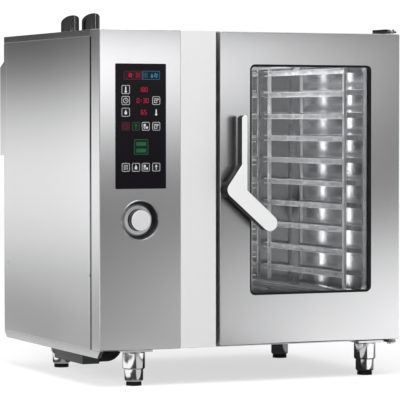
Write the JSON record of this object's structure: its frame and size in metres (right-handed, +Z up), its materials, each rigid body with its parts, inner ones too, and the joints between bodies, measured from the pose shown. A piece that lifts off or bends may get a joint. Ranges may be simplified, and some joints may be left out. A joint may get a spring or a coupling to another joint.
{
  "type": "combi steamer oven",
  "caption": "Ten-level combi steamer: brushed steel cabinet on levelling feet, left control panel with display and dial, right-hung glazed door with a turning lever.",
  "frame": {"origin": "on the floor, under the middle of the object's bounding box", "axes": "+Z up, the front with door and controls faces -Y, +X to the right when facing the front"},
  "size_m": [1.015, 0.9682, 1.155],
  "materials": {
    "outer_steel": "brushed",
    "liner_steel": "polished",
    "polished_steel": "polished",
    "trim_white": "satin",
    "handle_plate": "satin",
    "black_plastic": "satin",
    "rubber": "matte",
    "window_glass": "clear",
    "screen": "gloss",
    "chrome": "mirror",
    "dark_steel": "satin",
    "heater_tube": "matte",
    "mineral_wool": "matte",
    "circuit_board": "satin",
    "brass": "satin",
    "motor_casting": "cast"
  },
  "bodies": {
    "cabinet": {"base_frame": "outer_steel", "left_side_panel": "outer_steel", "right_side_panel": "outer_steel", "top_cover": "outer_steel", "rear_panel": "outer_steel", "rear_air_duct": "outer_steel", "control_fascia": "outer_steel", "fascia_trim_strip": "trim_white", "display_panel": "screen", "display_board": "circuit_board", "dial_dish": "polished_steel", "dial_encoder": "circuit_board", "cavity_liner": "liner_steel", "cavity_front_frame": "outer_steel", "door_gasket": "rubber", "drain_strainer": "liner_steel", "air_baffle": "liner_steel", "heating_coil": "heater_tube", "fan_motor": "motor_casting", "rack_left": "polished_steel", "rack_right": "polished_steel", "cavity_lamp": "window_glass", "insulation_top": "mineral_wool", "insulation_right": "mineral_wool", "contactor_panel": "circuit_board", "steam_generator": "liner_steel", "water_valve": "brass", "cooling_fan": "black_plastic", "cable_gland": "black_plastic", "drain_trap": "dark_steel", "drain_elbow": "rubber", "latch_keeper": "outer_steel", "upper_hinge_bracket": "outer_steel", "upper_hinge_cap": "black_plastic", "upper_hinge_pin": "chrome", "lower_hinge_bracket": "dark_steel", "lower_hinge_pin": "chrome", "exhaust_pipe_1": "chrome", "exhaust_pipe_2": "chrome", "foot_sleeve_front_left": "chrome", "foot_sleeve_front_right": "chrome", "foot_sleeve_rear_left": "chrome", "foot_sleeve_rear_right": "chrome"},
    "door": {"door_outer_frame": "outer_steel", "door_inner_frame": "outer_steel", "window_seal": "rubber", "window_glass_outer": "window_glass", "window_glass_inner": "window_glass", "handle_escutcheon": "black_plastic"},
    "handle": {"handle_lever": "black_plastic", "handle_faceplate": "handle_plate", "latch_spindle": "polished_steel"},
    "dial_plunger": {"encoder_spindle": "polished_steel"},
    "dial": {"dial_knob": "polished_steel"},
    "fan": {"fan_wheel": "liner_steel", "fan_shaft": "polished_steel"},
    "foot_front_left": {"foot_leg_front_left": "chrome"},
    "foot_front_right": {"foot_leg_front_right": "chrome"},
    "foot_rear_left": {"foot_leg_rear_left": "chrome"},
    "foot_rear_right": {"foot_leg_rear_right": "chrome"}
  },
  "joints": [
    {"name": "door_swing", "type": "hinge", "parent": "cabinet", "child": "door", "pos_m": [0.4925, -0.39615, 0.592], "axis": [0, 0, 1], "range_deg": [0, 130]},
    {"name": "handle_turn", "type": "hinge", "parent": "door", "child": "handle", "pos_m": [-0.0885, -0.42615, 0.593], "axis": [0, 1, 0], "range_deg": [-30, 40]},
    {"name": "dial_push", "type": "slide", "parent": "cabinet", "child": "dial_plunger", "axis": [0, 1, 0], "range_m": [0, 0.0015], "stiffness_N_per_m": 2000, "springref_m": -0.001},
    {"name": "dial_turn", "type": "hinge", "parent": "dial_plunger", "child": "dial", "pos_m": [-0.3755, -0.42615, 0.503], "axis": [0, 1, 0], "continuous": true},
    {"name": "fan_spin", "type": "hinge", "parent": "cabinet", "child": "fan", "pos_m": [-0.5075, -0.02115, 0.617], "axis": [1, 0, 0], "continuous": true},
    {"name": "foot_level_front_left", "type": "slide", "parent": "cabinet", "child": "foot_front_left", "axis": [0, 0, -1], "range_m": [0, 0.025]},
    {"name": "foot_level_front_right", "type": "slide", "parent": "cabinet", "child": "foot_front_right", "axis": [0, 0, -1], "range_m": [0, 0.025]},
    {"name": "foot_level_rear_left", "type": "slide", "parent": "cabinet", "child": "foot_rear_left", "axis": [0, 0, -1], "range_m": [0, 0.025]},
    {"name": "foot_level_rear_right", "type": "slide", "parent": "cabinet", "child": "foot_rear_right", "axis": [0, 0, -1], "range_m": [0, 0.025]}
  ]
}
